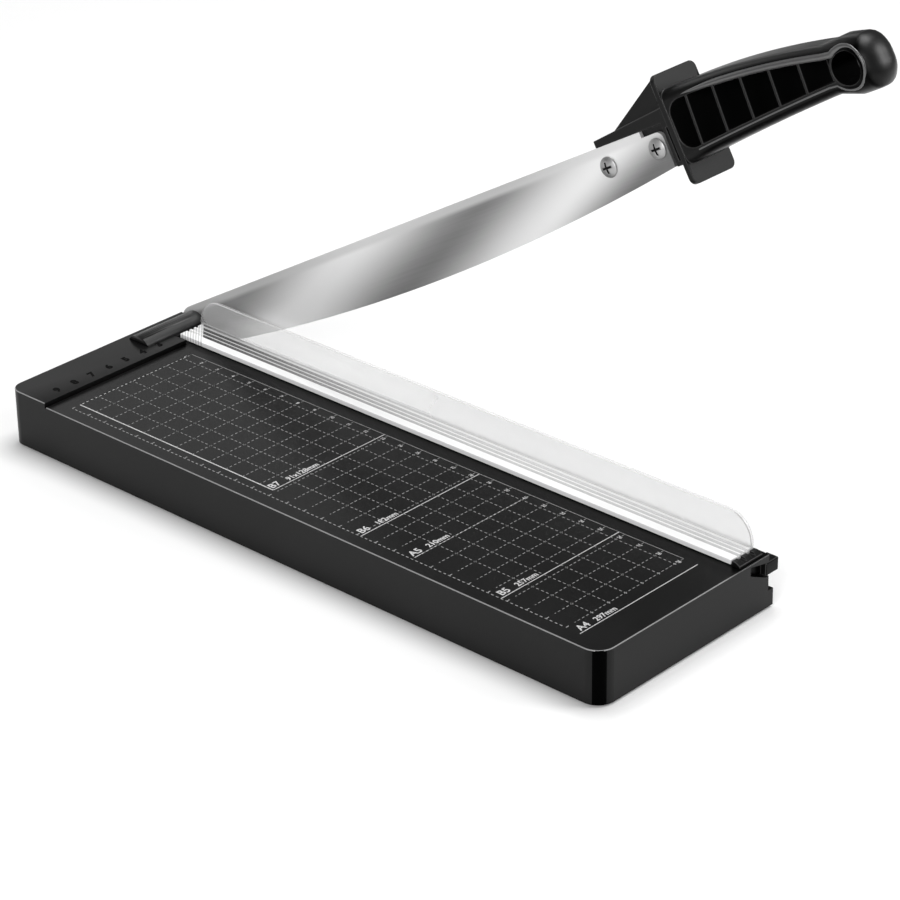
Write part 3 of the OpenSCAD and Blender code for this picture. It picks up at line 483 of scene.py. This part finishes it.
# base: painted highlights on the edges round the table, painted shade in a band down the front right corner and
# inside the window in its end
rim = {
    "width": 0.35, "pale": 1.0, "fenceTop": 2, "corner": 8.1, "ends": 9, "bandHalf": 24, "window": 12,
    "windowDeep": 3.2, "windowTop": 0.5,
}


def rimEdge(edge):
    a, b = (v.co for v in edge.verts)
    level = abs(a.z - b.z) < same and tableZ - close < a.z < tableZ + rim["fenceTop"] * mm
    atFront = max(a.y, b.y) < baseLow.y + rim["corner"] * mm
    atEnd = min(a.x, b.x) > baseHigh.x - close or max(a.x, b.x) < baseLow.x + close
    goesBack = max(a.y, b.y) > baseLow.y + close and abs(a.x - b.x) < same
    return level and (atFront or atEnd) and not (goesBack and abs(a.x) < baseHigh.x - rim["ends"] * mm)


def darkPlace(face):
    middle = face.calc_center_median()
    # painted shade: a black band down the rounded front right corner
    if middle.y < 0:                                  # rounded corner at the front
        facing = face.normal.dot(Vector((1, -1, 0)).normalized())
        atCorner = middle.x > baseHigh.x - rim["corner"] * mm
        return atCorner and facing > math.cos(math.radians(rim["bandHalf"]))
    # painted shade on the walls inside the window
    inWall = baseHigh.x - rim["windowDeep"] * mm < middle.x < baseHigh.x - close
    return inWall and middle.y > cutY - rim["window"] * mm and middle.z < tableZ - rim["windowTop"] * mm


rimRounds = [(rim["width"], rounding["steps"], rim["pale"], rimEdge)]
softCopy("baseShell", "base_shell", "base", rimRounds, darkPlace)


# lock's slider, with painted highlights on its edges and painted shade on its end
slider = {"round": 0.5, "pale": 0.15}


def sliderEnd(face):
    # painted shade on the slider's end
    return face.normal.x > square


sliderRounds = [(slider["round"], rounding["steps"], slider["pale"], anyEdge)]
softCopy("lockSlider", "lock_slider", "base", sliderRounds, sliderEnd)


# blade screws: low heads whose cross recess is painted dark as shade; places in mm along the arm and above the
# pivot
screws = {"places": [(309.8, 1), (281.8, 1)], "recess": 2.6, "head": 1.7, "floor": 0.7, "round": 0.3}


def fromScrew(point):                                 # distance from the nearest screw's axis
    gaps = [armPoint(u, 0, v) - point for u, v in screws["places"]]
    return min(math.hypot(gap.x, gap.z) for gap in gaps) / mm


def headEdge(edge):
    return min(fromScrew(v.co) for v in edge.verts) > screws["recess"]


# faces of the cross recess, painted dark as shade
def recessFace(face):
    middle = face.calc_center_median()
    wall = abs(face.normal.y) < slanted and middle.y < cutY + screws["head"] * mm
    floorFace = face.normal.y < -square and cutY - screws["floor"] * mm < middle.y < cutY
    return fromScrew(middle) < screws["recess"] and (wall or floorFace)


headRounds = [(screws["round"], rounding["steps"], 0.0, headEdge)]
softCopy("handleScrews", "handle_screws", "plated", headRounds, recessFace)


smallPieces = {                                       # node, finish, rounding in mm
    "footFrontLeft": ("foot_front_left", "rubber", 0.5),
    "footFrontRight": ("foot_front_right", "rubber", 0.5),
    "footRearLeft": ("foot_rear_left", "rubber", 0.5),
    "footRearRight": ("foot_rear_right", "rubber", 0.5),
    "footMiddle": ("foot_middle", "rubber", 0.5),
    "fixedKnife": ("fixed_knife", "knife", 0.1),
    "knifeScrews": ("knife_screws", "plated", 0.1),
    "pivotBolt": ("pivot_bolt", "plated", 0.3),
    "pivotWasher": ("pivot_washer", "plated", 0.15),
    "springWasher": ("spring_washer", "plated", 0.15),
    "pivotNut": ("pivot_nut", "plated", 0.3),
    "guardKeeper": ("guard_keeper", "base", 0.25),
    "lockPlate": ("lock_plate", "base", 0.2),
    "lockPlateScrews": ("lock_plate_screws", "plated", 0.1),
    "lockStrike": ("lock_strike", "plated", 0.2),
    "strikeScrews": ("strike_screws", "plated", 0.1),
    "guardScrews": ("guard_screws", "plated", 0.1),
    "handleNuts": ("handle_nuts", "plated", 0.25),
    "pivotBush": ("pivot_bush", "brass", 0.15),
    "armHandle": ("handle", "handle", 0.35),
    "clearGuard": ("clear_guard", "clear", 0.3),
    "pivotSpring": ("pivot_spring", "spring", 0.0),
}
edgeLightShare = {"base": 0.15, "handle": 1.0, "clear": 1.0}      # how strong the painted highlight on a finish's rounded edges is
for name, (node, finish, width) in smallPieces.items():
    pale = edgeLightShare.get(finish, 0.0)
    softCopy(name, node, finish, [(width, rounding["steps"], pale, anyEdge)] if width else [])


# blade: the cutting edge is ground on the far side; from and to are mm along the arm
ground = {"round": 0.12, "width": 0.8, "from": 30, "to": 265}


def cuttingEdge(edge):
    normals = [face.normal for face in edge.link_faces]
    along = [(v.co - pivot).dot(armAlong) / mm for v in edge.verts]
    lowFar = min(n.dot(armUp) for n in normals) < -slanted and max(n.y for n in normals) > square
    return lowFar and min(along) > ground["from"] and max(along) < ground["to"]


def bluntEdge(edge):
    return not cuttingEdge(edge) and not any(cuttingEdge(e) for v in edge.verts for e in v.link_edges)


bladeRounds = [(ground["round"], rounding["steps"], 0.0, bluntEdge), (ground["width"], 1, 0.0, cuttingEdge)]
softCopy("armBlade", "blade", "blade", bladeRounds)
print("pieces rounded:", len(rounded))


# bead round the pockets of the grip, in a paler copy of the handle plastic as a painted highlight; s runs along
# the grip from the cross-guard, lengths in mm
grip = {
    "length": 98, "crest": 21.3, "crestAt": 10, "fall": 10.6, "bulbAt": 77, "bulbLength": 9, "bulbRise": 2.2,
    "bulbDrop": 3.2, "belly": 8.6, "rise": 4.8, "bow": 0.4, "half": 11, "halfEnd": 9, "flare": 1.5,
    "flareLength": 12, "plate": 2.5, "edge": 4, "bulbEdge": 7.5, "edgeShare": 0.98, "middle": 1.2, "rim": 5,
    "ringAt": 86.3, "ring": 7.5,
}
bead = {                                              # radii, places beside the pockets, runs along s
    "upper": 1.35, "ring": 0.65, "lower": 0.6, "end": 0.3, "out": 1.2, "ringOut": 0.5, "sink": 0.5,
    "upperRun": range(2, 78, 3), "lowerRun": range(76, 5, -3), "ringFrom": 125, "ringTo": -145,
    "ringSteps": 24, "taper": 3, "roundness": 2, "smooth": 60,
}


def ease(t):
    c = min(1, max(0, t))
    return c * c * (3 - 2 * c)


def toBulb(s):                                        # 0 on the grip, 1 on its bulb
    return ease((s - grip["bulbAt"]) / grip["bulbLength"])


def gripTop(s):
    t = (s - grip["crestAt"]) / (grip["length"] - grip["crestAt"])
    return grip["crest"] - grip["fall"] * t * t + grip["bulbRise"] * toBulb(s)


def gripLow(s):
    t = min(1, s / grip["bulbAt"])
    rise = grip["rise"] * ((1 + grip["bow"]) * t - grip["bow"] * t * t)
    return rise - grip["belly"] - grip["bulbDrop"] * toBulb(s)


def gripFace(s, v):                                   # how far the near face lies from the grip's middle
    half = grip["half"] + (grip["halfEnd"] - grip["half"]) * s / grip["length"]
    half += grip["flare"] * (1 - ease((s + grip["plate"]) / grip["flareLength"]))
    r = grip["edge"] + (grip["bulbEdge"] - grip["edge"]) * toBulb(s)
    middle, tall = (gripTop(s) + gripLow(s)) / 2, (gripTop(s) - gripLow(s)) / 2
    over = min(r * grip["edgeShare"], max(0, abs(v - middle) - (tall - r)))
    return half - r + math.sqrt(r * r - over * over)


def arc(centre, radius, start, end, steps):
    for i in range(steps + 1):
        a = math.radians(start + (end - start) * i / steps)
        yield centre[0] + radius * math.cos(a), centre[1] + radius * math.sin(a)


def curveMesh(name, curve):                           # mesh of a curve or text, which is then removed
    thing = addObject(name, curve)
    mesh = bpy.data.meshes.new_from_object(thing.evaluated_get(bpy.context.evaluated_depsgraph_get()))
    bpy.data.objects.remove(thing)
    bpy.data.curves.remove(curve)
    return mesh


def tube(name, path, finish, body, slot):             # path holds (place, radius in mm)
    curve = bpy.data.curves.new(name, "CURVE")
    curve.dimensions = "3D"
    curve.bevel_depth = mm
    curve.bevel_resolution = bead["roundness"]
    curve.use_fill_caps = True
    spline = curve.splines.new("POLY")
    spline.points.add(len(path) - 1)
    for point, (place, radius) in zip(spline.points, path):
        point.co = (*place, 1)
        point.radius = radius
    mesh = curveMesh(name + "Path", curve)
    bm = bmesh.new()
    bm.from_mesh(mesh)
    bpy.data.meshes.remove(mesh)
    bmesh.ops.remove_doubles(bm, verts=bm.verts, dist=weld)
    bmesh.ops.recalc_face_normals(bm, faces=bm.faces)
    newPiece(name, bm, finish, body, slot, bead["smooth"])


def beadRun(outline, first, last):                    # the radius changes in the run's first third
    for i, (s, v) in enumerate(outline):
        radius = first + (last - first) * ease(bead["taper"] * i / len(outline))
        yield armPoint(gripStart + s, grip["middle"] - gripFace(s, v) + bead["sink"], v), radius


ringV = (gripTop(grip["ringAt"]) + gripLow(grip["ringAt"])) / 2
ringRadius = grip["ring"] + bead["ringOut"]
upper = [(s, gripTop(s) - grip["rim"] + bead["out"]) for s in bead["upperRun"]]
ring = list(arc((grip["ringAt"], ringV), ringRadius, bead["ringFrom"], bead["ringTo"], bead["ringSteps"]))
lower = [(s, gripLow(s) + grip["rim"] - bead["out"]) for s in bead["lowerRun"]]
beadPath = list(beadRun(upper, bead["end"], bead["upper"]))
beadPath += beadRun(ring, bead["upper"], bead["ring"])
beadPath += beadRun(lower, bead["ring"], bead["lower"])
tube("gripBead", beadPath, "bead", "arm", "handle_plastic")
print("grip dressed")


# printed scale: lengths in mm from the fence's wall and from the cutting edge; thin, rule and bar are shares
# of the line's width
scale = {
    "fence": 23.5, "pitch": 10, "columns": 29, "rearY": -25, "firstRow": -30.5, "rows": 6, "frontY": -91,
    "rulerY": -95.5, "line": 0.4, "thin": 0.8, "rule": 0.6, "bar": 1.4, "dash": 1.3, "beat": 2.5, "tick": 1.6,
    "ink": 0.03, "labelY": -93.5, "labelGap": 0.8, "labelBack": 1.2, "code": 5.2, "wordsOn": 9.5,
    "words": 4.0, "bold": 0.09, "digits": 2.4, "digitsOn": 4, "cross": 0.7, "curves": 3,
    "sizes": [("B7", "91x128mm", 128), ("B6", "182mm", 182), ("A5", "210mm", 210), ("B5", "257mm", 257),
              ("A4", "297mm", 297)],
}


def tablePoint(x, y):
    return Vector((baseLow.x + (scale["fence"] + x) * mm, cutY + y * mm, tableZ))


def strip(bm, x0, y0, x1, y1):                        # thin printed bar between two corners
    low, high = tablePoint(x0, y0), tablePoint(x1, y1)
    size = Matrix.Diagonal((high.x - low.x, high.y - low.y, 2 * scale["ink"] * mm, 1))
    bmesh.ops.create_cube(bm, size=1, matrix=Matrix.Translation((low + high) / 2) @ size)


def lineX(bm, y, x0, x1, width=1.0):
    half = scale["line"] * width / 2
    strip(bm, x0, y - half, x1, y + half)


def lineY(bm, x, y0, y1, width=1.0):
    half = scale["line"] * width / 2
    strip(bm, x - half, y0, x + half, y1)


def dashes(start, end):
    place = start
    while place < end:
        yield max(start, place - scale["dash"] / 2), min(end, place + scale["dash"] / 2)
        place += scale["beat"]


columns = [scale["pitch"] * i for i in range(1, scale["columns"] + 1)]
rows = [scale["firstRow"] - scale["pitch"] * i for i in range(scale["rows"])]
firstX, lastX = columns[0], columns[-1]
smallest = scale["sizes"][0]                          # the framed size, with its label on the frame
bm = bmesh.new()
for x in columns:
    for y0, y1 in dashes(rows[-1] - scale["pitch"], scale["rearY"]):
        lineY(bm, x, y0, y1, scale["thin"])
    lineY(bm, x, scale["rearY"] - scale["tick"], scale["rearY"])
    lineY(bm, x, scale["rulerY"], scale["rulerY"] + scale["tick"])
for y in rows:
    for x0, x1 in dashes(firstX, lastX):
        lineX(bm, y, x0, x1, scale["thin"])
lineX(bm, scale["rearY"], firstX, lastX, scale["rule"])
for x0, x1 in dashes(firstX, lastX):
    lineX(bm, scale["rulerY"], x0, x1)
newPiece("scaleLines", bm, "ink", "base", "base_plastic")

bm = bmesh.new()
lineX(bm, scale["frontY"], firstX, smallest[2], scale["bar"])
lineY(bm, firstX, scale["frontY"], scale["rearY"], scale["thin"])
for size in scale["sizes"]:
    lineY(bm, size[2], scale["frontY"] if size is smallest else scale["rulerY"], scale["rearY"])
for x in columns[1:]:                                 # bright crossings of the grid
    for y in rows:
        lineX(bm, y, x - scale["cross"], x + scale["cross"])
        lineY(bm, x, y - scale["cross"], y + scale["cross"])
newPiece("sizeLines", bm, "brightInk", "base", "base_plastic")


def addWords(bm, words, size, place, turn, depth, bold=0.0):
    curve = bpy.data.curves.new("words", "FONT")
    curve.body = words
    curve.size = size * mm
    curve.extrude = depth * mm
    curve.offset = bold * mm
    curve.resolution_u = scale["curves"]
    mesh = curveMesh("words", curve)
    mesh.transform(Matrix.Translation(place) @ Matrix.Rotation(turn, 4, "Z"))
    bm.from_mesh(mesh)
    bpy.data.meshes.remove(mesh)


quarter = math.pi / 2
bm = bmesh.new()
for size in scale["sizes"]:
    code, words, x = size
    start = scale["frontY"] + scale["labelGap"] if size is smallest else scale["labelY"]
    for text, height, y in ((code, scale["code"], start), (words, scale["words"], start + scale["wordsOn"])):
        spot = tablePoint(x - scale["labelBack"], y)
        addWords(bm, text, height, spot, quarter, scale["ink"], scale["bold"])
for i, x in enumerate(columns, 1):
    spot = tablePoint(x - scale["labelBack"], scale["rearY"] - scale["digitsOn"])
    addWords(bm, str(i), scale["digits"], spot, 0.0, scale["ink"])
newPiece("scaleWords", bm, "brightInk", "base", "base_plastic")

marks = {"first": 3, "count": 7, "x": -4.0, "y": -31.5, "rise": 1.8, "size": 5.4, "depth": 0.1, "bold": 0.26}
bm = bmesh.new()
for i in range(marks["count"]):
    spot = tablePoint(marks["x"], marks["y"] - scale["pitch"] * i) + Vector((0, 0, marks["rise"] * mm))
    addWords(bm, str(marks["first"] + i), marks["size"], spot, quarter, marks["depth"], marks["bold"])
newPiece("fenceNumbers", bm, "mark", "base", "base_plastic")
print("scale printed")


# studio: pale floor, soft boxes and the photograph's camera; a box is (name, place, size, power)
studio = {
    "floor": 6.0, "floorCells": 8, "floorTones": (0.88, 0.9), "floorCloud": 3.0, "floorRough": 0.7,
    "floorSheen": 0.1, "world": 0.1, "aim": (0, 0, 0.05),
    "boxes": [("topBox", (-0.05, 0.45, 2.0), 1.2, 33.0), ("backBox", (-2.2, 1.6, 1.2), 0.8, 3.0),
              ("frontBox", (0.7, -1.6, 0.9), 0.9, 25.0), ("sideBox", (1.5, 1.3, 1.2), 1.0, 20.0),
              ("leftBox", (-2.0, -0.1, 0.7), 1.1, 6.0)],
}
bm = bmesh.new()
cells = studio["floorCells"]
bmesh.ops.create_grid(bm, x_segments=cells, y_segments=cells, size=studio["floor"] / 2)
floorMesh = bpy.data.meshes.new("floor")
bm.to_mesh(floorMesh)
bm.free()
material, wires, shader = newMaterial("floorPaper")
cloud = noise(wires, objectPlace(wires), studio["floorCloud"], detail=2.0)
wires.plug(shader, {
    "Base Color": blend(wires, cloud, *(grey(tone) for tone in studio["floorTones"])),
    "Roughness": studio["floorRough"],
    "Specular IOR Level": studio["floorSheen"],
})
floorMesh.materials.append(material)
floor = addObject("floor", floorMesh)

world = bpy.data.worlds.new("studio")
world.use_nodes = True
world.node_tree.nodes["Background"].inputs["Color"].default_value = grey(1.0)
world.node_tree.nodes["Background"].inputs["Strength"].default_value = studio["world"]
bpy.context.scene.world = world

for name, place, size, power in studio["boxes"]:
    light = bpy.data.lights.new(name, "AREA")
    light.shape = "SQUARE"
    light.size = size
    light.energy = power
    lamp = addObject(name, light)
    lamp.location = place
    lamp.rotation_euler = (Vector(studio["aim"]) - Vector(place)).to_track_quat("-Z", "Y").to_euler()

view = {"azimuth": 43.03, "elevation": 27.47, "roll": 0.88, "distance": 1.3833, "lens": 132.5, "sensor": 36,
        "target": (0.01365, 0.03395, 0.025)}
azimuth, elevation, roll = (math.radians(view[k]) for k in ("azimuth", "elevation", "roll"))
back = Vector((math.sin(azimuth) * math.cos(elevation), -math.cos(azimuth) * math.cos(elevation),
               math.sin(elevation)))
right = Vector((math.cos(azimuth), math.sin(azimuth), 0))
down = -back.cross(right)
cameraX = math.cos(roll) * right + math.sin(roll) * down
cameraY = math.sin(roll) * right - math.cos(roll) * down
camera = addObject("camera", bpy.data.cameras.new("camera"))
camera.data.lens = view["lens"]
camera.data.sensor_width = view["sensor"]
spot = Vector(view["target"]) + back * view["distance"]
turn = Matrix((cameraX, cameraY, back)).transposed().to_4x4()
camera.matrix_world = Matrix.Translation(spot) @ turn
bpy.context.scene.camera = camera
bpy.context.scene.view_settings.view_transform = "Standard"
print("studio ready")
